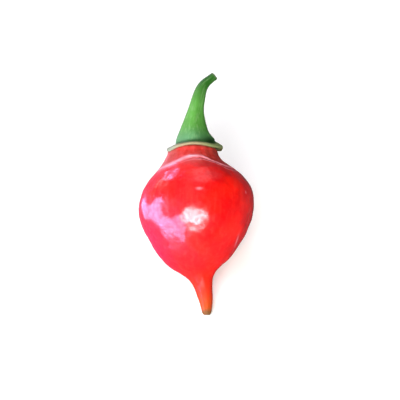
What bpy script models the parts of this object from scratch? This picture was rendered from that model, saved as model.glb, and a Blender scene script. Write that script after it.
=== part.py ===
"""A peito de moca pepper, as picked, lying on its flank with the tip of its beak on the table.

The pepper is shaped upright, in a frame of its own: the calyx sits on the pod at the origin, the
stalk rises along +Y, the beak hangs along -Y, X is to the right and the front faces +Z.
It is then laid down: turned about X until its flank and the tip of the beak both meet the table,
which is Z = 0. The origin of the laid pepper is the middle of its box, on the table.
"""

import math

import bmesh
import bpy
import numpy as np
from mathutils import Matrix, Vector

MM = 0.001

# Pod, in millimetres. Each station of the outline is its height above the calyx seat, the half width
# of the pod there, and how far the middle of the pod leans to the right.
POD_OUTLINE = (
    (-36.90, 0.00, 2.26),
    (-36.58, 0.66, 2.26),
    (-35.40, 1.12, 2.22),
    (-32.80, 1.70, 1.96),
    (-30.10, 2.25, 1.39),
    (-28.20, 3.10, 0.66),
    (-26.50, 5.00, -0.15),
    (-24.20, 7.50, -0.10),
    (-20.20, 10.20, 0.10),
    (-16.60, 11.95, 0.06),
    (-13.00, 12.66, 0.26),
    (-9.40, 12.13, 0.58),
    (-6.30, 10.14, 0.56),
    (-4.30, 8.05, 0.00),
    (-3.10, 6.88, -0.44),
    (-2.10, 6.20, -0.64),
    (-0.90, 5.58, -0.66),
    (-0.42, 5.30, -0.64),
    (-0.30, 4.80, -0.62),
)
POD_SIDES = 56
POD_STEPS = 3

# Lobes of the pod: low swellings with a furrow between them, one of which is left of the front
LOBES = 3
LOBE_HEIGHT = 0.18
FURROW_ANGLE = 112
RELIEF_TOP = -0.50

# Swells and dents of the wall: height, angle, length and width of each, and how far out
SWELLS = (
    (-18.2, 149, 2.6, 4.2, 0.36),
    (-12.8, 143, 2.6, 3.2, -0.20),
    (-23.0, 127, 3.6, 2.0, 0.28),
)

# Crease where the neck meets the shoulder: a lip, which arches up in front and behind and dips most
# on the left, and a groove just below it
LIP_HEIGHT = -2.70
LIP_SAG = 2.00
LIP_SAG_LEFT = 0.25
ARCH_SPREAD = 38
LIP_RISE = 0.13
GROOVE_DROP = 0.54
GROOVE_DEPTH = 0.16
CREASE_WIDTH = 0.34

# Calyx and stalk, in millimetres. Each station is the length along the stalk and the half width.
STALK_OUTLINE = (
    (0.00, 5.30),
    (0.02, 5.80),
    (0.10, 6.06),
    (0.34, 6.14),
    (0.52, 5.98),
    (0.62, 5.60),
    (0.74, 5.05),
    (0.90, 4.50),
    (1.14, 4.10),
    (1.70, 3.96),
    (2.70, 3.70),
    (4.30, 3.08),
    (7.60, 2.09),
    (9.60, 1.64),
    (12.00, 1.43),
    (14.70, 1.28),
    (17.20, 0.98),
    (17.98, 0.94),
    (18.12, 0.78),
)
STALK_END = 18.16
STALK_SIDES = 40
STALK_STEPS = 3
STALK_LINE_STEPS = 16

# Middle line of the stalk, as points to the right of the pod's axis and above the seat
STALK_LINE = (
    (-0.62, 0.00),
    (-0.56, 5.00),
    (0.20, 10.80),
    (1.45, 14.50),
    (4.05, 16.90),
)

# Margin of the calyx: the angle, reach and lift of each of its teeth, and how wide a tooth is
TEETH = (
    (16, 0.20, 0.32),
    (88, 0.06, 0.00),
    (140, 0.06, -0.20),
    (232, 0.22, 0.20),
    (306, 0.20, 0.40),
)
TOOTH_SPREAD = 22
RIM_INNER = 4.20
RIM_OUTER = 6.10
RIM_TOP = 0.50
RIM_REACH_RIGHT = 0.20

# Ribs that run from the teeth up the stalk
RIBS = 5
RIB_ANGLE = 20
RIB_SHARE = 0.035

# Foot of the stalk, which widens and climbs from the margin on its right
FOOT_FLARE = 0.70
FOOT_HEIGHT = 1.40
FOOT_SPREAD = 0.90
FOOT_RISE = 0.55
FOOT_EDGE = 5.30
FOOT_SOFTNESS = 0.60
FOOT_TOP = 1.10

# How the pepper lies
FLAT_DEPTH = 0.25
LEAST_TILT, MOST_TILT = math.radians(20), math.radians(40)
HALVINGS = 40
BEAK_END = -34.0
SNAP = 0.03

SHARP_ANGLE = math.radians(40)

# Colour, roughness and metallic value of each piece
POD_FINISH = ((0.80, 0.022, 0.016, 1.0), 0.22, 0.0)
STALK_FINISH = ((0.085, 0.300, 0.060, 1.0), 0.48, 0.0)


def clear_scene():
    for thing in list(bpy.data.objects):
        bpy.data.objects.remove(thing, do_unlink=True)


def smooth_through(stations, steps):
    """Points of a smooth curve through the stations, with so many steps from each to the next."""
    points = np.array(stations, float)
    gaps = np.linalg.norm(np.diff(points, axis=0), axis=1)
    at = np.concatenate([[0.0], np.cumsum(gaps)])
    slopes = np.gradient(points, at, axis=0)
    curve = []
    for start in range(len(points) - 1):
        span = at[start + 1] - at[start]
        for step in range(steps):
            t = step / steps
            curve.append(
                (2 * t**3 - 3 * t**2 + 1) * points[start]
                + (t**3 - 2 * t**2 + t) * span * slopes[start]
                + (3 * t**2 - 2 * t**3) * points[start + 1]
                + (t**3 - t**2) * span * slopes[start + 1]
            )
    curve.append(points[-1])
    return np.array(curve)


def bump(distance, width):
    """A smooth rise that is 1 at no distance and fades out over the width."""
    return math.exp(-((distance / width) ** 2))


def degrees_from(angle, place):
    """How many degrees lie between an angle in radians and a place in degrees, from -180 to 180."""
    return (math.degrees(angle) - place + 180) % 360 - 180


def turned(name, outline, sides):
    """A mesh turned about the Y axis from an outline of (height, half width), closed at both ends."""
    profile = bpy.data.meshes.new(name)
    verts = [(half_width, height, 0.0) for height, half_width in outline]
    edges = [(i, i + 1) for i in range(len(verts) - 1)]
    profile.from_pydata(verts, edges, [])
    blank = bpy.data.objects.new(name, profile)
    bpy.context.scene.collection.objects.link(blank)
    screw = blank.modifiers.new("turn", "SCREW")
    screw.axis = "Y"
    screw.steps = screw.render_steps = sides
    screw.use_merge_vertices = True
    screw.merge_threshold = 0.0001
    bpy.context.view_layer.update()
    shaped = blank.evaluated_get(bpy.context.evaluated_depsgraph_get())
    mesh = bpy.data.meshes.new_from_object(shaped)
    bpy.data.objects.remove(blank)
    bpy.data.meshes.remove(profile)
    return mesh


def reshape(mesh, rule):
    """Moves each point of a mesh from millimetres to its place in metres, as the rule gives it."""
    shape = bmesh.new()
    shape.from_mesh(mesh)
    bmesh.ops.remove_doubles(shape, verts=shape.verts, dist=0.001)
    for vert in shape.verts:
        vert.co = Vector(rule(vert.co)) * MM
    bmesh.ops.recalc_face_normals(shape, faces=shape.faces)
    shape.to_mesh(mesh)
    shape.free()


def crease_relief(height, angle):
    """The lip and the groove below it, as millimetres out from the turned shape."""
    arches = sum(bump(degrees_from(angle, middle), ARCH_SPREAD) for middle in (90, 270))
    from_lip = height - LIP_HEIGHT + (LIP_SAG - LIP_SAG_LEFT * math.cos(angle)) * (1 - arches)
    groove = GROOVE_DEPTH * bump(from_lip + GROOVE_DROP, CREASE_WIDTH)
    return LIP_RISE * bump(from_lip, CREASE_WIDTH) - groove


def wall_relief(height, angle, radius, share):
    """The lobes and the swells, as millimetres out from the turned shape."""
    relief = -LOBE_HEIGHT * share * math.cos(LOBES * (angle - math.radians(FURROW_ANGLE)))
    for at_height, at_angle, length, width, out in SWELLS:
        aside = math.radians(degrees_from(angle, at_angle)) * radius
        relief += out * bump(height - at_height, length) * bump(aside, width)
    return relief


def make_pod():
    outline = smooth_through(POD_OUTLINE, POD_STEPS)
    top = (POD_OUTLINE[-1][0], 0.0)
    mesh = turned("pod", [*outline[:, :2], top], POD_SIDES)
    heights, half_widths, leans = outline.T
    widest = half_widths.max()

    def place(point):
        height = point.y
        angle = math.atan2(point.z, point.x)
        radius = math.hypot(point.x, point.z)
        if height < RELIEF_TOP:
            relief = crease_relief(height, angle) + wall_relief(height, angle, radius, radius / widest)
            radius += relief
        lean = float(np.interp(height, heights, leans))
        return lean + radius * math.cos(angle), height, radius * math.sin(angle)

    reshape(mesh, place)
    return mesh


def stalk_frames():
    """Lengths along the middle line of the stalk, with the point and the direction at each."""
    line = smooth_through(STALK_LINE, STALK_LINE_STEPS)
    lengths = np.concatenate([[0.0], np.cumsum(np.linalg.norm(np.diff(line, axis=0), axis=1))])
    directions = np.gradient(line, lengths, axis=0)
    directions /= np.linalg.norm(directions, axis=1)[:, None]
    return lengths * STALK_END / lengths[-1], line, directions


def margin_shape(length, angle, radius):
    """The margin of the calyx with its teeth: length along the stalk and radius of a point on it."""
    share = min(max((radius - RIM_INNER) / (RIM_OUTER - RIM_INNER), 0.0), 1.0)
    radius += share * RIM_REACH_RIGHT * math.cos(angle)
    for at_angle, reach, lift in TEETH:
        near = share * bump(degrees_from(angle, at_angle), TOOTH_SPREAD)
        radius += near * reach
        length += near * lift
    return length, radius


def foot_shape(length, angle, radius):
    """The foot of the stalk, which widens and climbs on its right, and the ribs above it."""
    right = max(math.cos(angle), 0.0) ** 2
    climb = 1 / (1 + math.exp((radius - FOOT_EDGE) / FOOT_SOFTNESS))
    if length > FOOT_TOP:
        climb *= bump(length - FOOT_TOP, FOOT_SPREAD)
        radius *= 1 + RIB_SHARE * math.cos(RIBS * (angle - math.radians(RIB_ANGLE)))
    radius += FOOT_FLARE * right * bump(length - FOOT_HEIGHT, FOOT_SPREAD)
    return length + FOOT_RISE * right * climb, radius


def make_calyx_and_stalk():
    outline = smooth_through(STALK_OUTLINE, STALK_STEPS)
    closed = [(0.0, 0.0), *outline, (STALK_END, 0.0)]
    mesh = turned("calyx_and_stalk", closed, STALK_SIDES)
    lengths, line, directions = stalk_frames()

    def place(point):
        length = point.y
        angle = math.atan2(point.z, point.x)
        radius = math.hypot(point.x, point.z)
        on_top = length > RIM_TOP
        length, radius = margin_shape(length, angle, radius)
        if on_top:
            length, radius = foot_shape(length, angle, radius)
        x, y = (np.interp(length, lengths, line[:, i]) for i in (0, 1))
        if length < 0:
            y = length
        along_x, along_y = (np.interp(length, lengths, directions[:, i]) for i in (0, 1))
        aside = radius * math.cos(angle)
        return x + aside * along_y, y - aside * along_x, radius * math.sin(angle)

    reshape(mesh, place)
    return mesh


def turned_down(tilt):
    """The turn that lowers the beak and raises the stalk by the tilt."""
    return Matrix.Rotation(tilt, 3, "X")


def lying_tilt(mesh):
    """The tilt at which the table meets the beak's tip and cuts the flank by the depth of its flat."""
    points = np.array([vert.co for vert in mesh.vertices])
    beak = points[points[:, 1] < BEAK_END * MM]
    flank = points[points[:, 1] > BEAK_END * MM]
    low, high = LEAST_TILT, MOST_TILT
    for _ in range(HALVINGS):
        tilt = (low + high) / 2
        down = np.array(turned_down(tilt))[2]
        if (beak @ down).min() - (flank @ down).min() > FLAT_DEPTH * MM:
            low = tilt
        else:
            high = tilt
    return tilt, float((beak @ down).min())


def trim_flat(mesh, tilt, table):
    """Cuts the flank off flat where the table meets it."""
    up = turned_down(tilt).inverted() @ Vector((0, 0, 1))
    shape = bmesh.new()
    shape.from_mesh(mesh)
    for vert in shape.verts:
        above = vert.co.dot(up) - table
        if abs(above) < SNAP * MM:
            vert.co -= above * up
    cut = bmesh.ops.bisect_plane(
        shape,
        geom=[*shape.verts, *shape.edges, *shape.faces],
        dist=1e-7,
        plane_co=up * table,
        plane_no=up,
        clear_inner=True,
    )
    rim = [edge for edge in cut["geom_cut"] if isinstance(edge, bmesh.types.BMEdge)]
    bmesh.ops.holes_fill(shape, edges=rim, sides=0)
    shape.to_mesh(mesh)
    shape.free()


def material(name, finish):
    colour, roughness, metallic = finish
    made = bpy.data.materials.new(name)
    made.use_nodes = True
    shader = made.node_tree.nodes["Principled BSDF"]
    shader.inputs["Base Color"].default_value = colour
    shader.inputs["Roughness"].default_value = roughness
    shader.inputs["Metallic"].default_value = metallic
    return made


def add_piece(name, mesh, finish, group, parent):
    mesh.materials.append(material(name, finish))
    mesh.shade_smooth()
    mesh.set_sharp_from_angle(angle=SHARP_ANGLE)
    piece = bpy.data.objects.new(name, mesh)
    piece.parent = parent
    group.objects.link(piece)
    return piece


def middle_of_box(pieces):
    points = [piece.matrix_world @ vert.co for piece in pieces for vert in piece.data.vertices]
    low, high = np.min(points, axis=0), np.max(points, axis=0)
    return (low + high) / 2


def main():
    clear_scene()
    group = bpy.data.collections.new("peito_de_moca_pepper")
    bpy.context.scene.collection.children.link(group)
    lying = bpy.data.objects.new("lying_pepper", None)
    group.objects.link(lying)

    pod_mesh = make_pod()
    stalk_mesh = make_calyx_and_stalk()
    tilt, table = lying_tilt(pod_mesh)
    trim_flat(pod_mesh, tilt, table)

    pod = add_piece("pod", pod_mesh, POD_FINISH, group, lying)
    stalk = add_piece("calyx_and_stalk", stalk_mesh, STALK_FINISH, group, lying)

    lying.rotation_euler.x = tilt
    bpy.context.view_layer.update()
    middle = middle_of_box([pod, stalk])
    lying.location = (-middle[0], -middle[1], -table)


main()
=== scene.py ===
"""A peito de moca pepper, as picked, lying on its flank on a pale table.

Both pieces are modelled standing up, in millimetres and in a frame of their own: the seat of the
calyx is the origin, the stalk rises along +Y, the beak hangs along -Y, X is to the right and the
front faces +Z. Angles go round the pepper from its right, over its front, to its left and its
back. Each finished piece is then laid down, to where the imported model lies.
"""

import math

import bpy
import numpy as np
from mathutils import Matrix, Vector, noise


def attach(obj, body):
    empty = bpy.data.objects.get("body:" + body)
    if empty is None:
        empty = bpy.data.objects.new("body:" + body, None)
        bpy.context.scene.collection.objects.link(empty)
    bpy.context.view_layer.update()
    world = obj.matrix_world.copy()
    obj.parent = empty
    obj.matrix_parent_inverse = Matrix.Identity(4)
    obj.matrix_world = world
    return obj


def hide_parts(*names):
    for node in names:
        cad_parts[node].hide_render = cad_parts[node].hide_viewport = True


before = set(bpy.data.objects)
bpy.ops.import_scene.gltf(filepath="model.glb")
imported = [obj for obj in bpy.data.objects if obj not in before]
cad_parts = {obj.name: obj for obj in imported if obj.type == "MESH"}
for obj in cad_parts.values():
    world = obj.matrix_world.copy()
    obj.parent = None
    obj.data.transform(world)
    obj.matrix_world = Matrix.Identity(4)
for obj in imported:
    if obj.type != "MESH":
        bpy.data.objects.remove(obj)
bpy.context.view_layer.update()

MM = 0.001

# How the pepper lies: the turn that lowers its beak, and where that brings the seat of the calyx
TILT = math.radians(29.52)
SEAT = Vector((-0.00013, 0.00840, 0.01863))

# Rings of the pod from under the calyx to the tip: height above the seat, half width, lean
POD_RINGS = (
    (0.30, 4.90, -0.62),
    (0.00, 5.36, -0.63),
    (-0.40, 5.52, -0.65),
    (-0.90, 5.60, -0.66),
    (-2.10, 6.20, -0.64),
    (-3.10, 6.88, -0.44),
    (-4.30, 8.05, 0.00),
    (-6.30, 10.14, 0.56),
    (-9.40, 12.13, 0.58),
    (-13.00, 12.66, 0.26),
    (-16.60, 11.95, 0.06),
    (-20.20, 10.20, 0.10),
    (-24.20, 7.50, -0.10),
    (-26.50, 5.00, -0.15),
    (-28.20, 3.10, 0.66),
    (-30.10, 2.25, 1.39),
    (-32.80, 1.70, 2.05),
    (-35.40, 1.12, 2.36),
    (-36.30, 0.92, 2.41),
    (-36.66, 0.58, 2.44),
    (-36.62, 0.34, 2.44),
    (-36.52, 0.16, 2.44),
)
POD_SIDES = 64

# Both pieces: steps from each of their rings to the next, and levels of subdivision
RINGS_BETWEEN = 3
FINENESS = 2

# Low lobes of the pod, with a furrow left of the front
LOBES = 3
LOBE_HEIGHT = 0.18
FURROW_ANGLE = 112

# The lip where the skin of the shoulder ends: where it runs, how far it stands out and how wide it is
LIP_HEIGHT = -2.70
LIP_SAG = 2.10
LIP_SAG_LEFT = 0.40
ARCH_SPREAD = math.radians(38)
LIP_RISE = 0.15
LIP_WIDTH = 0.32
LIP_WIDER_LEFT = 0.26

# Directions in which the lip is widest, most ragged and flattest
LIP_WIDE_ANGLE = 150
LIP_RAGGED_ANGLE = 60
LIP_FLAT_ANGLE = 8

# The crack under the lip, which gapes right of the front, and the thin second edge below it
CRACK_ANGLE = 66
CRACK_SPREAD = math.radians(30)
CRACK_DROP = 0.52
CRACK_WIDTH = 0.14
CRACK_DEPTH = 0.12
EDGE_DROP = 0.84
EDGE_WIDTH = 0.20
EDGE_RISE = 0.06

# Where the lip rises and dips besides: angle, spread, how far
LIP_WAVES = (
    (35, 0.35, -0.55),
    (44, 0.24, -0.50),
    (54, 0.17, -0.45),
    (70, 0.22, 0.20),
)

# Soft swells and dents of the wall: height, angle, length, width and slant of each, and how far out
SWELLS = (
    (-18.2, 149, 2.6, 4.2, -10, 0.36),
    (-12.8, 143, 2.6, 3.2, 0, -0.20),
    (-21.4, 131, 3.0, 1.7, 0, 0.17),
    (-20.0, 114, 1.7, 2.2, 0, 0.10),
    (-17.5, 116, 4.0, 0.9, -8, -0.03),
    (-15.2, 70, 0.6, 1.4, 60, -0.025),
    (-20.6, 89, 0.32, 0.55, 0, 0.026),
    (-17.2, 72, 0.45, 0.9, 50, -0.020),
)

# Random unevenness of the wall: name, size, height
UNEVENNESS = (
    ("waves", 5.4, 0.36),
    ("dimples", 2.0, 0.09),
    ("ripples", 1.1, 0.060),
)

# Folds along the neck and along the beak, and where the beak begins
NECK_FOLDS = 17
NECK_FOLD_HEIGHT = 0.035
BEAK_FOLDS = 9
BEAK_FOLD_HEIGHT = 0.016
BEAK_START = -28.5

# Small scars, and a pale dot painted as a small highlight: how far they stand out, and height, angle,
# length, width and slant of each
SCAR_RISE = 0.05
SCARS_AND_GLINT = (
    (-21.2, 23, 1.25, 0.30, 35),
    (-11.0, 35, 0.22, 0.22, 0),
    # A pale dot painted where the skin shows a small highlight
    (-11.25, 88.7, 0.26, 0.60, 0),
    (-13.2, 168, 0.16, 0.55, 0),
)

# Where the skin is paler on the left of the neck with a painted glow of light below the lip on the
# left and in front, and where painted shade darkens it under the calyx
PALE_AND_GLOW_LEFT_ANGLE = 166
PAINTED_GLOW_FRONT_ANGLE = 94
SHADED_LEFT_ANGLE = 158
SHADED_FRONT_ANGLE = 136

# Where the left flank has a painted magenta sheen, standing in for a reflection of lilac light
PAINTED_SHEEN_ANGLE = 170
PAINTED_SHEEN_HEIGHT = -21

# Where the red turns to brown down the beak, and the dry tip with a scar on its end
BROWNING_START = -25.5
BROWNING_LENGTH = 10.5
TIP_START = -35.75
TIP_SCAR_START = -36.2
TIP_SCAR_RADIUS = 0.42

# Rings of the calyx and stalk: length along the stalk, half width, shift to the right
STALK_RINGS = (
    (0.60, 1.20, 0.00),
    (0.40, 3.60, 0.05),
    (0.06, 5.00, 0.12),
    (0.00, 5.62, 0.20),
    (0.00, 5.92, 0.21),
    (0.00, 6.09, 0.21),
    (0.06, 6.19, 0.21),
    (0.20, 6.17, 0.21),
    (0.34, 6.02, 0.21),
    (0.46, 5.70, 0.18),
    (0.62, 5.10, 0.12),
    (0.82, 4.50, 0.05),
    (1.12, 4.10, 0.00),
    (1.70, 3.98, 0.00),
    (2.70, 3.70, 0.00),
    (4.30, 3.08, 0.00),
    (7.60, 2.09, 0.00),
    (9.60, 1.64, 0.00),
    (12.00, 1.43, 0.00),
    (14.70, 1.17, 0.00),
    (17.20, 0.93, 0.00),
    (17.98, 0.91, 0.00),
    (18.16, 0.81, 0.00),
    (18.10, 0.52, 0.00),
    (18.02, 0.22, 0.00),
)
STALK_SIDES = 48

# Middle line of the bent stalk: right, height
STALK_LINE = (
    (-0.62, 0.00),
    (-0.56, 5.00),
    (0.20, 10.80),
    (1.45, 14.60),
    (4.00, 16.90),
)

# The rim of the calyx, on which the teeth stand
RIM_RADIUS = 6.1
RIM_HEIGHT = 0.20
RIM_SHIFT = 0.21

# Teeth of the calyx: angle, how far each reaches out, how far it lifts
TEETH = (
    (14, 0.18, 0.16),
    (88, 0.06, 0.02),
    (122, 0.02, -0.16),
    (158, 0.12, -0.17),
    (232, 0.22, 0.20),
    (325, 0.10, 0.60),
)
TOOTH_REACH = 0.55
TOOTH_SPREAD = 2.4

# Pulls on the foot of the stalk, on the right: from where, by what step, how wide a spot
FOOT_TUGS = (
    ((3.95, 1.75), (0.55, -0.05, 0.0), 0.75),
    ((5.30, 0.90), (0.00, 0.80, 0.0), 0.70),
)
FOOT_SPREAD = 2.2

# The pale margin: where it begins, how thick it hangs, and where thicker: angle, spread, how much
MARGIN_START = 4.75
MARGIN_TOP = 1.9
MARGIN_THICKNESS = 0.12
MARGIN_SWELLS = (
    (44, 0.38, 0.26),
    (154, 0.46, 0.78),
)
CORK_HEIGHT = 0.035

# Ribs along the stalk, as a share of its radius, the fine grooves among them, and where both run
RIBS = 5
RIB_ANGLE = 20
RIB_HEIGHT = 0.035
GROOVE_HEIGHT = 0.035
RIBS_FROM = 1.5
RIBS_TO = 17.8

# How far along the stalk the painted shadow at its foot lies, and where its cut end begins
FOOT_SHADOW_LENGTH = 1.15
CUT_LENGTH = 18.0

# Camera: where it looks, in the pepper's own frame, how high it stands, and its long lens
SIGHT_POINT = (0.88, -11.18, 0.0)
CAMERA_HEIGHT = math.radians(48.67)
CAMERA_LENS = 200.0

# The picture: its width in pixels, and how many millimetres of the pepper one of them shows
PICTURE_PIXELS = 400
MM_PER_PIXEL = 0.22
FRAME_WIDTH = PICTURE_PIXELS * MM_PER_PIXEL


# Modelling by rings

def smooth_through(stations, steps):
    """Points of a smooth curve through the stations, with so many steps from each to the next."""
    points = np.array(stations, float)
    gaps = np.linalg.norm(np.diff(points, axis=0), axis=1)
    at = np.concatenate([[0.0], np.cumsum(gaps)])
    slopes = np.gradient(points, at, axis=0)
    curve = []
    for start in range(len(points) - 1):
        span = at[start + 1] - at[start]
        for step in range(steps):
            t = step / steps
            curve.append(
                (2 * t**3 - 3 * t**2 + 1) * points[start]
                + (t**3 - 2 * t**2 + t) * span * slopes[start]
                + (3 * t**2 - 2 * t**3) * points[start + 1]
                + (t**3 - t**2) * span * slopes[start + 1]
            )
    curve.append(points[-1])
    return np.array(curve)


def first_ring(name, sides, radius, centre):
    """A flat ring of points round the Y axis, left selected in edit mode."""
    bpy.ops.object.select_all(action="DESELECT")
    bpy.ops.mesh.primitive_circle_add(
        vertices=sides, radius=radius, location=(*centre, 0), rotation=(math.radians(90), 0, 0)
    )
    piece = bpy.context.object
    piece.name = piece.data.name = name
    bpy.ops.object.transform_apply(location=True, rotation=True, scale=True)
    bpy.ops.object.mode_set(mode="EDIT")
    bpy.ops.mesh.select_all(action="SELECT")
    return piece


def pull_ring(start, end, growth, turn=0.0):
    """Extrudes the selected ring from one centre to the next, then widens and turns it there."""
    centre = (*end, 0.0)
    step = (end[0] - start[0], end[1] - start[1], 0.0)
    bpy.ops.mesh.extrude_region_move(TRANSFORM_OT_translate={"value": step})
    bpy.ops.transform.resize(value=(growth,) * 3, center_override=centre)
    if turn:
        bpy.ops.transform.rotate(value=-turn, orient_axis="Z", center_override=centre)


def close_ends():
    """Draws the last ring and the first one in to a point each, and leaves edit mode."""
    bpy.ops.mesh.merge(type="CENTER")
    bpy.ops.mesh.select_all(action="DESELECT")
    bpy.ops.mesh.select_mode(type="VERT")
    bpy.ops.mesh.select_non_manifold()
    bpy.ops.mesh.merge(type="CENTER")
    bpy.ops.mesh.select_all(action="SELECT")
    bpy.ops.mesh.normals_make_consistent(inside=False)
    bpy.ops.object.mode_set(mode="OBJECT")


def tug(piece, place, step, reach, spread):
    """Pulls the points within reach of a place by a step, and those round them softly after."""
    for vert in piece.data.vertices:
        vert.select = (vert.co - Vector(place)).length < reach
    bpy.ops.object.mode_set(mode="EDIT")
    bpy.ops.transform.translate(
        value=step,
        use_proportional_edit=True,
        proportional_edit_falloff="SMOOTH",
        proportional_size=spread,
    )
    bpy.ops.mesh.select_all(action="DESELECT")
    bpy.ops.object.mode_set(mode="OBJECT")


def apply(piece, modifier):
    bpy.context.view_layer.objects.active = piece
    bpy.ops.object.modifier_apply(modifier=modifier.name)


def subdivide(piece, levels):
    smoother = piece.modifiers.new("smooth form", "SUBSURF")
    smoother.levels = smoother.render_levels = levels
    apply(piece, smoother)


# Relief

def points_of(piece):
    points = np.empty(len(piece.data.vertices) * 3)
    piece.data.vertices.foreach_get("co", points)
    return points.reshape(-1, 3)


def keep(piece, name, values):
    """Keeps a value from 0 to 1 at each point of the piece, for its material to read."""
    layer = piece.data.attributes.new(name, "FLOAT", "POINT")
    layer.data.foreach_set("value", np.clip(values, 0, 1).astype(np.float32))


def press(piece, name, relief, direction="NORMAL"):
    """Moves the surface by the relief, in millimetres: out where it is positive, in where not."""
    for side in (1, -1):
        depth = np.clip(relief * side, 0, None)
        most = depth.max()
        if most == 0:
            continue
        group = piece.vertex_groups.new(name=name)
        for index in np.nonzero(depth > most / 1000)[0]:
            group.add([int(index)], depth[index] / most, "REPLACE")
        mover = piece.modifiers.new(name, "DISPLACE")
        mover.vertex_group = group.name
        mover.direction = direction
        mover.mid_level = 0.0
        mover.strength = most * side
        apply(piece, mover)
        piece.vertex_groups.clear()


def roughen(piece, name, size, height):
    """Soft random swells of the whole surface, of a size and height in millimetres."""
    swell = bpy.data.textures.new(name, "CLOUDS")
    swell.noise_scale = size
    swell.noise_depth = 1
    mover = piece.modifiers.new(name, "DISPLACE")
    mover.texture = swell
    mover.texture_coords = "LOCAL"
    mover.strength = height
    apply(piece, mover)


def bump(distance, width):
    return np.exp(-((distance / width) ** 2))


def rise(distance, width):
    """0 far below no distance, 1 far above it."""
    return 1 / (1 + np.exp(-np.clip(distance / width, -30, 30)))


def wander(places, size, seed):
    """Smooth random values from about -1 to 1 at the places."""
    shift = Vector((seed, 0, 0))
    return np.array([noise.noise(Vector(place) / size + shift) for place in places])


def lay_down(piece):
    """Brings a finished piece from millimetres to metres and from standing to lying."""
    bpy.ops.object.select_all(action="DESELECT")
    piece.select_set(True)
    bpy.context.view_layer.objects.active = piece
    piece.scale = (MM, MM, MM)
    piece.rotation_euler.x = TILT
    piece.location = SEAT
    bpy.ops.object.transform_apply(location=True, rotation=True, scale=True)


def rest_on_table(piece):
    """Flattens what would dip under the table."""
    bpy.context.view_layer.objects.active = piece
    bpy.ops.object.mode_set(mode="EDIT")
    bpy.ops.mesh.select_all(action="SELECT")
    bpy.ops.mesh.bisect(
        plane_co=(0, 0, 0), plane_no=(0, 0, 1), use_fill=True, clear_inner=True, threshold=1e-7
    )
    bpy.ops.object.mode_set(mode="OBJECT")


# The pod

def turned_from(angle, degrees):
    """Angle between a direction round the pepper and the points', from -pi to pi."""
    apart = angle - math.radians(degrees)
    return np.arctan2(np.sin(apart), np.cos(apart))


def spot(height, angle, radius, place):
    """1 at the middle of a slanted spot on the skin, fading out over its length and width."""
    at_height, at_angle, long, wide, slant = place[:5]
    up = height - at_height
    round_ = turned_from(angle, at_angle) * radius
    lean = math.radians(slant)
    along = up * math.cos(lean) + round_ * math.sin(lean)
    aside = round_ * math.cos(lean) - up * math.sin(lean)
    return bump(along, long) * bump(aside, wide)


def lip_height(angle):
    """The lip arches up in front and behind, and dips furthest on the left."""
    arches = sum(bump(turned_from(angle, middle), ARCH_SPREAD) for middle in (90, 270))
    waves = sum(far * bump(turned_from(angle, middle), wide) for middle, wide, far in LIP_WAVES)
    return LIP_HEIGHT - (LIP_SAG - LIP_SAG_LEFT * np.cos(angle)) * (1 - arches) + waves


def build_wall():
    """The bare, round wall of the pod, and the rings that it runs through."""
    rings = smooth_through(POD_RINGS, RINGS_BETWEEN)
    centres = rings[:, [2, 0]]
    pod = first_ring("ripe_pod", POD_SIDES, rings[0][1], centres[0])
    for i in range(1, len(rings)):
        pull_ring(centres[i - 1], centres[i], rings[i][1] / rings[i - 1][1])
    close_ends()
    subdivide(pod, FINENESS)
    return pod, rings


def round_the_pod(pod, rings):
    """Height, angle and radius of each point of the pod about its own, leaning middle line."""
    points = points_of(pod)
    height = points[:, 1]
    across = points[:, 0] - np.interp(-height, -rings[:, 0], rings[:, 2])
    return height, np.arctan2(points[:, 2], across), np.hypot(points[:, 2], across)


def swell_wall(pod, height, angle, radius, widest):
    """Gives the wall its lobes, its swells and dents, and its random unevenness."""
    share = radius / widest
    lobes = -LOBE_HEIGHT * share * np.cos(LOBES * (angle - math.radians(FURROW_ANGLE)))
    press(pod, "lobes", lobes)
    press(pod, "swells", sum(place[5] * spot(height, angle, radius, place) for place in SWELLS))
    for name, size, high in UNEVENNESS:
        roughen(pod, name, size, high)


def raise_lip(pod, height, angle, places):
    """Raises the lip over its crack.

    Gives how far above the lip each point is, and how much it belongs to the lip, to the second
    edge and to the crack.
    """
    ragged = 0.10 * wander(places, 1.1, 3.0)
    more_ragged = bump(turned_from(angle, LIP_RAGGED_ANGLE), 0.55)
    ragged += (0.06 + 0.10 * more_ragged) * wander(places, 0.45, 6.0)
    from_lip = height - lip_height(angle) + ragged
    uneven = 0.75 + 0.25 * np.sin(angle) + 0.55 * wander(places, 1.6, 9.0)
    uneven *= 1 - 0.6 * bump(turned_from(angle, LIP_FLAT_ANGLE), 0.45)
    width = LIP_WIDTH + LIP_WIDER_LEFT * bump(turned_from(angle, LIP_WIDE_ANGLE), 0.8)
    gape = 0.25 + 0.75 * bump(turned_from(angle, CRACK_ANGLE), CRACK_SPREAD)
    lip = bump(from_lip, width) * uneven
    edge = bump(from_lip + EDGE_DROP, EDGE_WIDTH) * gape
    crack = bump(from_lip + CRACK_DROP, CRACK_WIDTH) * gape
    press(pod, "lip", LIP_RISE * lip + EDGE_RISE * edge - CRACK_DEPTH * crack)
    return from_lip, lip, edge, crack


def fold_skin(pod, height, angle, places, from_lip):
    """Folds the skin lengthwise, above the lip and down the beak."""
    folds = np.cos(NECK_FOLDS * angle + 2.0 * wander(places, 3.0, 5.0))
    press(pod, "neck folds", NECK_FOLD_HEIGHT * folds * rise(from_lip - 0.35, 0.12))
    beak = rise(BEAK_START - height, 0.8)
    folds = np.cos(BEAK_FOLDS * angle + 3.0 * wander(places, 4.0, 7.0))
    press(pod, "beak folds", BEAK_FOLD_HEIGHT * beak * folds)


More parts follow.
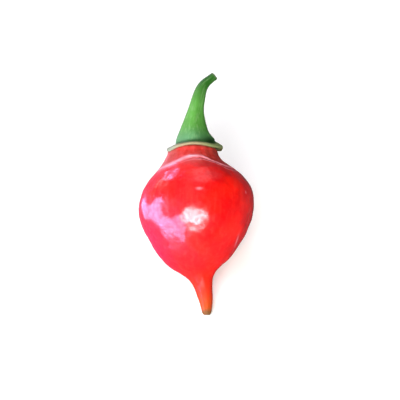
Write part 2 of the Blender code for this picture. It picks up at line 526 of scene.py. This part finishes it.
def keep_tints(pod, height, angle, radius, places, from_lip):
    """Keeps where the skin is paler and has a painted glow of light, where painted shade darkens it
    under the calyx, where a painted magenta sheen lies on it and where it turns brown.
    """
    neck = rise(from_lip, 0.10)
    keep(pod, "neck", neck)
    left = bump(turned_from(angle, PALE_AND_GLOW_LEFT_ANGLE), 0.42)
    front = bump(turned_from(angle, PAINTED_GLOW_FRONT_ANGLE), 0.42)
    # Painted glow of light below the lip, on the left and in front
    painted_glow = 0.45 * left * bump(from_lip + 0.3, 1.3) + 0.32 * front * bump(from_lip + 1.0, 1.3)
    keep(pod, "pale neck and painted glow", left * neck + painted_glow * (1 - neck))
    # Painted shade under the calyx, reaching further down on the left and at the left front
    shade_edge = height + 0.30 + 0.60 * bump(turned_from(angle, SHADED_LEFT_ANGLE), 0.5)
    left_front = bump(turned_from(angle, SHADED_FRONT_ANGLE), 0.28) * rise(from_lip - 0.9, 0.3)
    keep(pod, "shaded", rise(shade_edge, 0.12) + 0.5 * left_front)
    # Painted magenta sheen on the left flank
    keep(pod, "painted sheen", bump(turned_from(angle, PAINTED_SHEEN_ANGLE), 0.68) * bump(height - PAINTED_SHEEN_HEIGHT, 5.5))
    keep(pod, "beak", (BROWNING_START - height) / BROWNING_LENGTH)
    keep(pod, "tip", rise(TIP_START - height + 0.18 * wander(places, 0.5, 2.0), 0.16))
    keep(pod, "tip scar", rise(TIP_SCAR_RADIUS - radius, 0.06) * rise(TIP_SCAR_START - height, 0.05))


def make_pod():
    pod, rings = build_wall()
    height, angle, radius = round_the_pod(pod, rings)
    swell_wall(pod, height, angle, radius, rings[:, 1].max())
    places = points_of(pod)
    from_lip, lip, edge, crack = raise_lip(pod, height, angle, places)
    fold_skin(pod, height, angle, places, from_lip)
    scar = sum(spot(height, angle, radius, place) for place in SCARS_AND_GLINT)
    press(pod, "scars", SCAR_RISE * scar)

    keep_tints(pod, height, angle, radius, places, from_lip)
    keep(pod, "lip", lip + 0.55 * edge)
    keep(pod, "crack", crack)
    keep(pod, "scar", scar)
    pod.data.shade_smooth()
    lay_down(pod)
    rest_on_table(pod)
    return pod


# The calyx and stalk

def stalk_frames():
    """Lengths along the middle line of the stalk, the points there and the line's turn at each."""
    line = smooth_through(STALK_LINE, 24)
    lengths = np.concatenate([[0.0], np.cumsum(np.linalg.norm(np.diff(line, axis=0), axis=1))])
    slopes = np.gradient(line, lengths, axis=0)
    longest = max(ring[0] for ring in STALK_RINGS)
    return lengths * longest / lengths[-1], line, -np.arctan2(slopes[:, 0], slopes[:, 1])


def straightened(points, lengths, line, turns):
    """Where each point of the bent stalk would be on a straight one: right, length, front."""
    nearest = np.linalg.norm(points[:, None, :2] - line[None], axis=2).argmin(axis=1)
    turn = turns[nearest]
    away = points[:, :2] - line[nearest]
    right = away[:, 0] * np.cos(turn) + away[:, 1] * np.sin(turn)
    further = away[:, 1] * np.cos(turn) - away[:, 0] * np.sin(turn)
    return np.column_stack([right, lengths[nearest] + further, points[:, 2]])


def build_stalk(lengths, line, turns):
    """The bare calyx and stalk, ring by ring up the bent middle line."""
    rings = smooth_through(STALK_RINGS, RINGS_BETWEEN)

    def centre(ring):
        return [np.interp(ring[0], lengths, line[:, k]) for k in (0, 1)] + np.array([ring[2], 0])

    stalk = first_ring("green_calyx_and_stalk", STALK_SIDES, rings[0][1], centre(rings[0]))
    turned = 0.0
    for before, ring in zip(rings, rings[1:]):
        turn = np.interp(ring[0], lengths, turns)
        pull_ring(centre(before), centre(ring), ring[1] / before[1], turn - turned)
        turned = turn
    close_ends()
    return stalk


def pull_teeth(stalk):
    """Pulls the teeth out of the rim, and widens the foot of the stalk on the right."""
    foot = STALK_LINE[0][0]
    for angle, out, lift in TEETH:
        direction = Vector((math.cos(math.radians(angle)), 0, math.sin(math.radians(angle))))
        edge = direction * RIM_RADIUS + Vector((foot + RIM_SHIFT, RIM_HEIGHT, 0))
        tug(stalk, edge, direction * out + Vector((0, lift, 0)), TOOTH_REACH, TOOTH_SPREAD)
    for (right, up), step, reach in FOOT_TUGS:
        tug(stalk, (foot + right, up, 0), step, reach, FOOT_SPREAD)


def rib_stalk(stalk, straight, length, angle, radius):
    """Presses ribs and fine grooves along the stalk, from above its foot to its cut end."""
    above = rise(length - RIBS_FROM, 0.2) * rise(RIBS_TO - length, 0.1)
    ribs = np.cos(RIBS * (angle - math.radians(RIB_ANGLE)))
    press(stalk, "ribs", RIB_HEIGHT * above * radius * ribs)
    grooves = wander(straight * (1.6, 0.10, 1.6), 1.0, 4.0)
    press(stalk, "grooves", GROOVE_HEIGHT * above * grooves)


def thicken_margin(stalk, straight, length, angle, radius):
    """Thickens the corky margin downwards, and keeps where it and its underside are."""
    right = bump(angle, 0.7) * rise(length - 0.55, 0.05)
    margin = rise(radius - MARGIN_START - 0.6 * right, 0.12) * rise(MARGIN_TOP - length, 0.1)
    thick = MARGIN_THICKNESS
    for where, wide, more in MARGIN_SWELLS:
        thick = thick + more * bump(turned_from(angle, where), wide)
    press(stalk, "thick rim", -thick * margin * rise(0.30 - length, 0.12), "Y")
    cork = wander(straight, 0.55, 8.0) + 0.6 * wander(straight, 0.25, 1.0)
    press(stalk, "cork", CORK_HEIGHT * margin * cork)
    keep(stalk, "margin", margin)
    keep(stalk, "underside", margin * rise(-0.12 - length - 0.5 * thick, 0.08))


def make_calyx_and_stalk():
    lengths, line, turns = stalk_frames()
    stalk = build_stalk(lengths, line, turns)
    pull_teeth(stalk)
    subdivide(stalk, FINENESS)

    straight = straightened(points_of(stalk), lengths, line, turns)
    length = straight[:, 1]
    angle = np.arctan2(straight[:, 2], straight[:, 0])
    radius = np.hypot(straight[:, 0], straight[:, 2])
    rib_stalk(stalk, straight, length, angle, radius)
    thicken_margin(stalk, straight, length, angle, radius)

    layer = stalk.data.attributes.new("straight", "FLOAT_VECTOR", "POINT")
    layer.data.foreach_set("vector", straight.astype(np.float32).ravel())
    keep(stalk, "along", length / lengths[-1])
    keep(stalk, "cut", rise(length - CUT_LENGTH, 0.03))
    # Painted shadow in a dark band round the foot of the stalk, just above the margin
    keep(stalk, "foot", bump(length - FOOT_SHADOW_LENGTH, 0.35) * rise(5.0 - radius, 0.15))
    stalk.data.shade_smooth()
    lay_down(stalk)
    return stalk


# Material parts

def put(tree, kind, inputs=(), **settings):
    """Adds a node, sets or wires its inputs, and returns it."""
    added = tree.nodes.new("ShaderNode" + kind)
    for name, value in settings.items():
        setattr(added, name, value)
    for name, value in dict(inputs).items():
        if isinstance(value, bpy.types.NodeSocket):
            tree.links.new(value, added.inputs[name])
        else:
            added.inputs[name].default_value = value
    return added


def mixed(tree, share, first, second):
    """The first colour, turning to the second by the share."""
    return put(tree, "Mix", {0: share, 6: first, 7: second}, data_type="RGBA").outputs[2]


def ranged(tree, value, low, high, to_low=0.0, to_high=1.0):
    """A value brought smoothly from one range to another."""
    inputs = {0: value, 1: low, 2: high, 3: to_low, 4: to_high}
    return put(tree, "MapRange", inputs, interpolation_type="SMOOTHSTEP").outputs[0]


def times(tree, first, second):
    return put(tree, "Math", {0: first, 1: second}, operation="MULTIPLY").outputs[0]


def plus(tree, first, second):
    return put(tree, "Math", {0: first, 1: second}, operation="ADD").outputs[0]


def kept(tree, name):
    """A value kept on the piece's points."""
    return put(tree, "Attribute", attribute_name=name).outputs["Fac"]


def new_group(name, inputs, outputs):
    group = bpy.data.node_groups.new(name, "ShaderNodeTree")
    for socket, kind, value in inputs:
        made = group.interface.new_socket(socket, in_out="INPUT", socket_type=kind)
        if value is not None:
            made.default_value = value
    for socket, kind in outputs:
        group.interface.new_socket(socket, in_out="OUTPUT", socket_type=kind)
    start = group.nodes.new("NodeGroupInput")
    end = group.nodes.new("NodeGroupOutput")
    return group, start.outputs, end.inputs


def flecks_group():
    """Small round flecks scattered over the skin, each of its own size."""
    group, start, end = new_group(
        "Flecks",
        [
            ("Place", "NodeSocketVector", None),
            ("Spacing", "NodeSocketFloat", 1.0),
            ("Size", "NodeSocketFloat", 0.2),
        ],
        [("Mask", "NodeSocketFloat")],
    )
    scale = put(group, "Math", {0: 1.0, 1: start["Spacing"]}, operation="DIVIDE").outputs[0]
    cells = put(group, "TexVoronoi", {"Vector": start["Place"], "Scale": scale})
    own = put(group, "SeparateColor", {0: cells.outputs["Color"]}).outputs[0]
    reach = times(group, start["Size"], own)
    inner = times(group, reach, 0.35)
    mask = put(group, "MapRange", {0: cells.outputs["Distance"], 1: reach, 2: inner})
    group.links.new(mask.outputs[0], end["Mask"])
    return group


def fibres_group():
    """Fine lines that run along the pepper."""
    group, start, end = new_group(
        "Fibres",
        [
            ("Place", "NodeSocketVector", None),
            ("Width", "NodeSocketFloat", 0.4),
            ("Stretch", "NodeSocketFloat", 12.0),
        ],
        [("Value", "NodeSocketFloat")],
    )
    parts = put(group, "SeparateXYZ", {0: start["Place"]}).outputs
    slow = put(group, "Math", {0: parts[1], 1: start["Stretch"]}, operation="DIVIDE").outputs[0]
    drawn = put(group, "CombineXYZ", {0: parts[0], 1: slow, 2: parts[2]}).outputs[0]
    scale = put(group, "Math", {0: 1.0, 1: start["Width"]}, operation="DIVIDE").outputs[0]
    lines = put(group, "TexNoise", {"Vector": drawn, "Scale": scale, "Detail": 3.0})
    group.links.new(lines.outputs["Fac"], end["Value"])
    return group


def blotches_group():
    """Soft blotches of two sizes, pushed apart into darker and lighter patches."""
    group, start, end = new_group(
        "Blotches",
        [
            ("Place", "NodeSocketVector", None),
            ("Size", "NodeSocketFloat", 3.0),
            ("Contrast", "NodeSocketFloat", 0.25),
        ],
        [("Value", "NodeSocketFloat")],
    )
    scale = put(group, "Math", {0: 1.0, 1: start["Size"]}, operation="DIVIDE").outputs[0]
    cloud = put(group, "TexNoise", {"Vector": start["Place"], "Scale": scale, "Detail": 4.0})
    high = plus(group, start["Contrast"], 0.5)
    low = put(group, "Math", {0: 0.5, 1: start["Contrast"]}, operation="SUBTRACT").outputs[0]
    value = ranged(group, cloud.outputs["Fac"], low, high)
    group.links.new(value, end["Value"])
    return group


def effect(tree, group, **inputs):
    """Places a shared effect in a material and returns what it gives."""
    added = put(tree, "Group", node_tree=group)
    for name, value in inputs.items():
        if isinstance(value, bpy.types.NodeSocket):
            tree.links.new(value, added.inputs[name])
        else:
            added.inputs[name].default_value = value
    return added.outputs[0]


def standing_place(tree):
    """Object coordinates, brought back to millimetres on the standing pepper."""
    place = put(tree, "TexCoord").outputs["Object"]
    inputs = {"Vector": place, "Location": SEAT, "Rotation": (TILT, 0, 0), "Scale": (MM, MM, MM)}
    return put(tree, "Mapping", inputs, vector_type="TEXTURE").outputs[0]


def new_material(name, **constants):
    made = bpy.data.materials.new(name)
    made.use_nodes = True
    shader = made.node_tree.nodes["Principled BSDF"]
    for socket, value in constants.items():
        shader.inputs[socket.replace("_", " ").title().replace("Ior", "IOR")].default_value = value
    return made, made.node_tree, shader


# The finish of each piece

DEEP_RED = (0.620, 0.0025, 0.0040, 1)
BRIGHT_RED = (0.840, 0.0080, 0.0030, 1)
PALE_RED = (0.880, 0.060, 0.035, 1)
# The duller red of the neck, darkened in part as painted shade under the calyx
NECK_RED_AND_SHADE = (0.450, 0.030, 0.022, 1)
NECK_PALE = (0.580, 0.110, 0.085, 1)
PAINTED_SHEEN_MAGENTA = (0.780, 0.007, 0.042, 1)
NECK_PALE_AND_PAINTED_GLOW = (0.600, 0.190, 0.170, 1)
NECK_SHADE = (0.200, 0.040, 0.018, 1)
LIP_PINK = (0.900, 0.350, 0.380, 1)
CRACK_BROWN = (0.200, 0.030, 0.025, 1)
BEAK_CORAL = (0.620, 0.034, 0.010, 1)
BEAK_ORANGE = (0.450, 0.064, 0.008, 1)
TIP_OLIVE = (0.140, 0.085, 0.026, 1)
TIP_STRAW = (0.190, 0.150, 0.070, 1)


def red_skin(flecks, fibres, blotches):
    made, tree, shader = new_material(
        "ripe red skin",
        coat_roughness=0.20,
        specular_ior_level=0.06,
        subsurface_weight=0.12,
        subsurface_scale=0.0012,
    )
    place = standing_place(tree)
    clouds = effect(tree, blotches, Place=place, Size=5.0, Contrast=0.14)
    lines = effect(tree, fibres, Place=place, Width=0.9, Stretch=9.0)
    dots = effect(tree, flecks, Place=place, Spacing=0.9, Size=0.20)
    mottle = effect(tree, blotches, Place=place, Size=0.8, Contrast=0.12)
    streaks = ranged(tree, effect(tree, fibres, Place=place, Width=0.75, Stretch=2.4), 0.34, 0.68)

    red = mixed(tree, clouds, DEEP_RED, BRIGHT_RED)
    red = mixed(tree, times(tree, mottle, 0.07), red, PALE_RED)
    red = mixed(tree, ranged(tree, lines, 0.48, 0.70, 0.0, 0.15), red, PALE_RED)
    red = mixed(tree, times(tree, dots, 0.12), red, PALE_RED)
    # Painted magenta sheen on the left flank: a reflection of lilac light painted into the colour
    red = mixed(tree, times(tree, kept(tree, "painted sheen"), 0.8), red, PAINTED_SHEEN_MAGENTA)
    beak = kept(tree, "beak")
    red = mixed(tree, ranged(tree, beak, 0.05, 0.75), red, BEAK_CORAL)
    red = mixed(tree, ranged(tree, beak, 0.55, 0.98), red, BEAK_ORANGE)
    neck = kept(tree, "neck")
    # Neck red, darker in part as painted shade under the calyx
    neck_red_and_shade = mixed(tree, times(tree, streaks, 0.36), NECK_RED_AND_SHADE, NECK_PALE)
    red = mixed(tree, times(tree, neck, 0.85), red, neck_red_and_shade)
    # Paler neck on the left, and a painted glow of light below the lip
    red = mixed(tree, times(tree, kept(tree, "pale neck and painted glow"), 0.8), red, NECK_PALE_AND_PAINTED_GLOW)
    # Painted shade under the calyx
    red = mixed(tree, times(tree, kept(tree, "shaded"), 0.7), red, NECK_SHADE)
    red = mixed(tree, kept(tree, "lip"), red, LIP_PINK)
    red = mixed(tree, times(tree, kept(tree, "crack"), 0.85), red, CRACK_BROWN)
    # Pale scars, and a pale dot painted as a small highlight in front
    red = mixed(tree, times(tree, kept(tree, "scar"), 0.6), red, LIP_PINK)
    red = mixed(tree, times(tree, kept(tree, "tip"), 0.9), red, TIP_OLIVE)
    red = mixed(tree, kept(tree, "tip scar"), red, TIP_STRAW)
    tree.links.new(red, shader.inputs["Base Color"])

    dull = put(tree, "Math", {0: neck, 1: kept(tree, "tip")}, operation="MAXIMUM").outputs[0]
    gloss = ranged(tree, lines, 0.3, 0.7, 0.30, 0.42)
    rough = put(tree, "Mix", {0: dull, 2: gloss, 3: 0.55}).outputs[0]
    rough = plus(tree, rough, ranged(tree, beak, 0.0, 0.3, 0.0, 0.14))
    tree.links.new(rough, shader.inputs["Roughness"])
    bare = put(tree, "Math", {0: dull, 1: kept(tree, "lip")}, operation="MAXIMUM").outputs[0]
    waxy = times(tree, ranged(tree, bare, 0.0, 1.0, 1.0, 0.10), ranged(tree, beak, 0.0, 0.3, 1.0, 0.1))
    waxy = times(tree, waxy, ranged(tree, mottle, 0.0, 1.0, 0.66, 1.0))
    tree.links.new(waxy, shader.inputs["Coat Weight"])

    fine = put(tree, "TexNoise", {"Vector": place, "Scale": 1.6, "Detail": 4.0}).outputs["Fac"]
    grain = plus(tree, times(tree, fine, 0.055), times(tree, dots, 0.004))
    height = plus(tree, grain, times(tree, times(tree, streaks, neck), 0.03))
    skin = put(tree, "Bump", {"Height": height, "Distance": MM, "Strength": 1.0})
    tree.links.new(skin.outputs[0], shader.inputs["Normal"])
    return made


STALK_FRESH = (0.090, 0.320, 0.045, 1)
# A deeper green of the stalk, also used as painted shade on its right side
STALK_DEEP_AND_SHADE = (0.018, 0.100, 0.009, 1)
STALK_BASE = (0.098, 0.290, 0.105, 1)
STALK_PALE = (0.250, 0.470, 0.170, 1)
FOOT_SHADOW_GREEN = (0.025, 0.110, 0.020, 1)
FOOT_CORNER_SHADE = (0.010, 0.040, 0.008, 1)
CORK_TAN = (0.365, 0.325, 0.165, 1)
CORK_OLIVE = (0.290, 0.300, 0.130, 1)
CORK_PALE = (0.450, 0.390, 0.270, 1)
CORK_WHITE = (0.215, 0.290, 0.190, 1)
CORK_GREEN = (0.185, 0.260, 0.085, 1)
CORK_PINK = (0.420, 0.230, 0.130, 1)
CUT_GREEN = (0.022, 0.080, 0.020, 1)
CUT_PITH = (0.080, 0.160, 0.050, 1)


def green_skin(flecks, fibres, blotches):
    made, tree, shader = new_material("fresh green stalk", specular_ior_level=0.16)
    place = put(tree, "Attribute", attribute_name="straight").outputs["Vector"]
    along = kept(tree, "along")
    margin = kept(tree, "margin")
    lines = effect(tree, fibres, Place=place, Width=0.35, Stretch=14.0)
    clouds = effect(tree, blotches, Place=place, Size=2.5, Contrast=0.2)
    dots = effect(tree, flecks, Place=place, Spacing=0.75, Size=0.26)
    cork = effect(tree, blotches, Place=place, Size=0.9, Contrast=0.22)

    green = mixed(tree, ranged(tree, along, 0.10, 0.30), STALK_BASE, STALK_FRESH)
    green = mixed(tree, ranged(tree, along, 0.46, 0.93), green, STALK_DEEP_AND_SHADE)
    green = mixed(tree, times(tree, clouds, 0.25), green, STALK_DEEP_AND_SHADE)
    green = mixed(tree, ranged(tree, lines, 0.45, 0.75, 0.0, 0.30), green, STALK_PALE)
    green = mixed(tree, times(tree, dots, 0.20), green, STALK_PALE)
    right = put(tree, "SeparateXYZ", {0: place}).outputs[0]
    # Painted shade: the stalk darker green on its right side, away from the light
    green = mixed(tree, ranged(tree, right, 0.6, 3.4, 0.0, 0.45), green, STALK_DEEP_AND_SHADE)
    # Painted shadow at the foot of the stalk
    green = mixed(tree, times(tree, kept(tree, "foot"), 0.8), green, FOOT_SHADOW_GREEN)
    # Painted shade in the corner between the stalk's foot and the margin, on the right
    shaded_corner = times(tree, ranged(tree, along, 0.18, 0.08), ranged(tree, along, 0.035, 0.055))
    shaded_corner = times(tree, shaded_corner, ranged(tree, right, 2.2, 3.8))
    green = mixed(tree, times(tree, shaded_corner, 0.8), green, FOOT_CORNER_SHADE)
    tan = mixed(tree, cork, CORK_TAN, CORK_OLIVE)
    tan = mixed(tree, times(tree, dots, 0.4), tan, CORK_PALE)
    tan = mixed(tree, times(tree, kept(tree, "underside"), 0.5), tan, CORK_PINK)
    tan = mixed(tree, ranged(tree, right, -2.0, -5.2, 0.0, 0.8), tan, CORK_WHITE)
    tan = mixed(tree, ranged(tree, right, 0.6, 4.2, 0.0, 0.90), tan, CORK_GREEN)
    green = mixed(tree, margin, green, tan)
    core = effect(tree, blotches, Place=place, Size=0.5, Contrast=0.1)
    end = mixed(tree, core, CUT_GREEN, CUT_PITH)
    green = mixed(tree, kept(tree, "cut"), green, end)
    tree.links.new(green, shader.inputs["Base Color"])

    dull = put(tree, "Math", {0: margin, 1: kept(tree, "cut")}, operation="MAXIMUM").outputs[0]
    satin = ranged(tree, lines, 0.3, 0.7, 0.34, 0.50)
    rough = put(tree, "Mix", {0: dull, 2: satin, 3: 0.80}).outputs[0]
    tree.links.new(rough, shader.inputs["Roughness"])

    height = plus(tree, times(tree, lines, 0.03), times(tree, dots, 0.012))
    height = plus(tree, height, times(tree, times(tree, cork, margin), 0.05))
    skin = put(tree, "Bump", {"Height": height, "Distance": MM, "Strength": 1.0})
    tree.links.new(skin.outputs[0], shader.inputs["Normal"])
    return made


def finish_piece(piece, material, node):
    piece.data.materials.append(material)
    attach(piece, "root")
    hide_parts(node)


# The table, the light and the camera

TABLE_WIDTH = 0.64
PAPER = (0.90, 0.92, 0.86, 1)
MIRRORED_LEFT = (0.30, 0.20, 0.38, 1)
MIRRORED_RIGHT = (0.06, 0.05, 0.05, 1)
MIRRORED_GLARE = (6.4, 5.3, 11.0, 1)
NO_GLARE = (0, 0, 0, 1)
PAPER_GLOW = (0.16, 0.22, 0.15, 1)

# Patches of the table that glow for glossy rays only, as painted reflections of the windows: the left,
# right, front and back edge of each, in metres
GLARES = (
    (-0.135, -0.034, -0.003, 0.028),
    (-0.110, -0.038, -0.061, -0.029),
)
GLARE_EDGE = 0.008


def patch(tree, right, back, edges):
    """1 inside a soft-edged patch of the table."""
    left_edge, right_edge, front_edge, back_edge = edges
    from_left = ranged(tree, right, left_edge, left_edge + GLARE_EDGE)
    to_right = ranged(tree, right, right_edge, right_edge - GLARE_EDGE)
    from_front = ranged(tree, back, front_edge, front_edge + GLARE_EDGE)
    to_back = ranged(tree, back, back_edge, back_edge - GLARE_EDGE)
    return times(tree, times(tree, from_left, to_right), times(tree, from_front, to_back))


def make_table():
    bpy.ops.object.select_all(action="DESELECT")
    bpy.ops.mesh.primitive_plane_add(size=TABLE_WIDTH, location=(0, 0, 0))
    table = bpy.context.object
    table.name = "pale_table"
    paper, tree, shader = new_material("pale paper", roughness=0.8)
    place = put(tree, "TexCoord").outputs["Object"]
    right, back, _ = put(tree, "SeparateXYZ", {0: place}).outputs
    far = mixed(tree, ranged(tree, right, -0.06, 0.02), MIRRORED_LEFT, MIRRORED_RIGHT)
    mirrored = put(tree, "LightPath").outputs["Is Glossy Ray"]
    tree.links.new(mixed(tree, mirrored, PAPER, far), shader.inputs["Base Color"])
    # Painted reflections: the patches glow for glossy rays only, and the skin mirrors them as windows
    patches = [patch(tree, right, back, edges) for edges in GLARES]
    shine = times(tree, plus(tree, *patches), mirrored)
    glow = mixed(tree, put(tree, "LightPath").outputs["Is Camera Ray"], NO_GLARE, PAPER_GLOW)
    glare = mixed(tree, shine, glow, MIRRORED_GLARE)
    tree.links.new(glare, shader.inputs["Emission Color"])
    shader.inputs["Emission Strength"].default_value = 1.0
    table.data.materials.append(paper)


def heading(azimuth, elevation):
    """The direction of a light, seen from the pepper: azimuth 0 is the camera's side, 90 the right."""
    turn, lift = math.radians(azimuth), math.radians(elevation)
    flat = math.cos(lift)
    return Vector((math.sin(turn) * flat, -math.cos(turn) * flat, math.sin(lift)))


AIM_POINT = Vector((0, -0.006, 0.015))


def hang_softbox(name, azimuth, elevation, distance, size, brightness, colour, shape="ELLIPSE"):
    """A soft light of an even brightness, facing the pepper."""
    lamp = bpy.data.lights.new(name, "AREA")
    lamp.shape = shape
    lamp.size, lamp.size_y = size
    lamp.energy = brightness * math.pi * size[0] * size[1]
    lamp.color = colour
    holder = bpy.data.objects.new(name, lamp)
    bpy.context.scene.collection.objects.link(holder)
    away = heading(azimuth, elevation)
    holder.location = AIM_POINT + away * distance
    holder.rotation_euler = away.to_track_quat("Z", "Y").to_euler()
    holder.visible_camera = False
    return holder


WINDOW_WHITE = (0.96, 0.90, 1.0)
LILAC = (0.62, 0.49, 1.0)
ROSE = (1.0, 0.80, 0.90)
PALE_ROOM = (1.0, 1.0, 1.0, 1)
LEFT_ROOM = (0.24, 0.19, 0.27, 1)
RIGHT_ROOM = (0.04, 0.04, 0.04, 1)

# The main window, in front: name, direction, distance, size, brightness, colour and shape
FRONT_WINDOW = ("front window", -8, 27.6, 0.45, (0.31, 0.096), 35.0, WINDOW_WHITE, "RECTANGLE")

# Near panes that the glossy skin mirrors: name, direction, distance, size and brightness of each
WINDOW_PANES = (
    ("left window", -86, 5.5, 0.13, (0.070, 0.054), 19.0),
    ("low window", -37, 10.5, 0.13, (0.054, 0.056), 18.0),
    ("low post", -58.5, 5, 0.125, (0.046, 0.051), 25.0),
)

# Lights behind the pepper: name, direction, distance, size, brightness and colour of each
BACK_LIGHTS = (
    ("back window", -147, 16, 0.50, (0.17, 0.17), 2.6, LILAC),
    ("back window core", -147, 16, 0.48, (0.10, 0.11), 7.0, LILAC),
    ("back haze", 180, 46, 0.55, (0.38, 0.60), 0.42, ROSE),
    ("back glow", 180, 47, 0.50, (0.23, 0.40), 0.50, ROSE),
    ("back core", 180, 51, 0.45, (0.12, 0.22), 0.48, ROSE),
    ("side glow", -132, 8, 0.50, (0.24, 0.16), 1.8, (1.0, 0.75, 0.80)),
)

# Lights that only brighten and aren't mirrored, in the same order of values
LEFT_FILL = ("left fill", -75, 12, 0.40, (0.30, 0.20), 8.0, (0.80, 0.66, 1.0))
OVERHEAD_CLOTH = ("overhead cloth", -60, 72, 0.80, (0.80, 0.80), 1.7, (1.0, 1.0, 0.97))


def light_scene():
    hang_softbox(*FRONT_WINDOW)
    for name, azimuth, elevation, distance, size, brightness in WINDOW_PANES:
        pane = hang_softbox(name, azimuth, elevation, distance, size, brightness, LILAC, "RECTANGLE")
        pane.visible_diffuse = False
    fill = hang_softbox(*LEFT_FILL)
    fill.visible_glossy = False
    for light in BACK_LIGHTS:
        hang_softbox(*light)
    overhead = hang_softbox(*OVERHEAD_CLOTH)
    overhead.visible_glossy = False
    world = bpy.data.worlds.new("soft room")
    bpy.context.scene.world = world
    world.use_nodes = True
    tree = world.node_tree
    aim = put(tree, "TexCoord").outputs["Generated"]
    right = put(tree, "SeparateXYZ", {0: aim}).outputs[0]
    room = mixed(tree, ranged(tree, right, -0.6, 0.6), LEFT_ROOM, RIGHT_ROOM)
    seen = put(tree, "LightPath").outputs["Is Camera Ray"]
    background = tree.nodes["Background"]
    tree.links.new(mixed(tree, seen, room, PALE_ROOM), background.inputs["Color"])
    background.inputs["Strength"].default_value = 1.0
    bpy.context.scene.view_settings.view_transform = "Standard"


def add_camera():
    sight = Matrix.Rotation(TILT, 3, "X") @ Vector(SIGHT_POINT) * MM + SEAT
    back = Vector((0, -math.cos(CAMERA_HEIGHT), math.sin(CAMERA_HEIGHT)))
    data = bpy.data.cameras.new("camera")
    data.lens = CAMERA_LENS
    distance = FRAME_WIDTH * MM * CAMERA_LENS / data.sensor_width
    camera = bpy.data.objects.new("camera", data)
    camera.location = sight + back * distance
    camera.rotation_euler = (-back).to_track_quat("-Z", "Y").to_euler()
    bpy.context.scene.collection.objects.link(camera)
    bpy.context.scene.camera = camera


effects = flecks_group(), fibres_group(), blotches_group()
finish_piece(make_pod(), red_skin(*effects), "pod")
finish_piece(make_calyx_and_stalk(), green_skin(*effects), "calyx_and_stalk")
make_table()
light_scene()
add_camera()
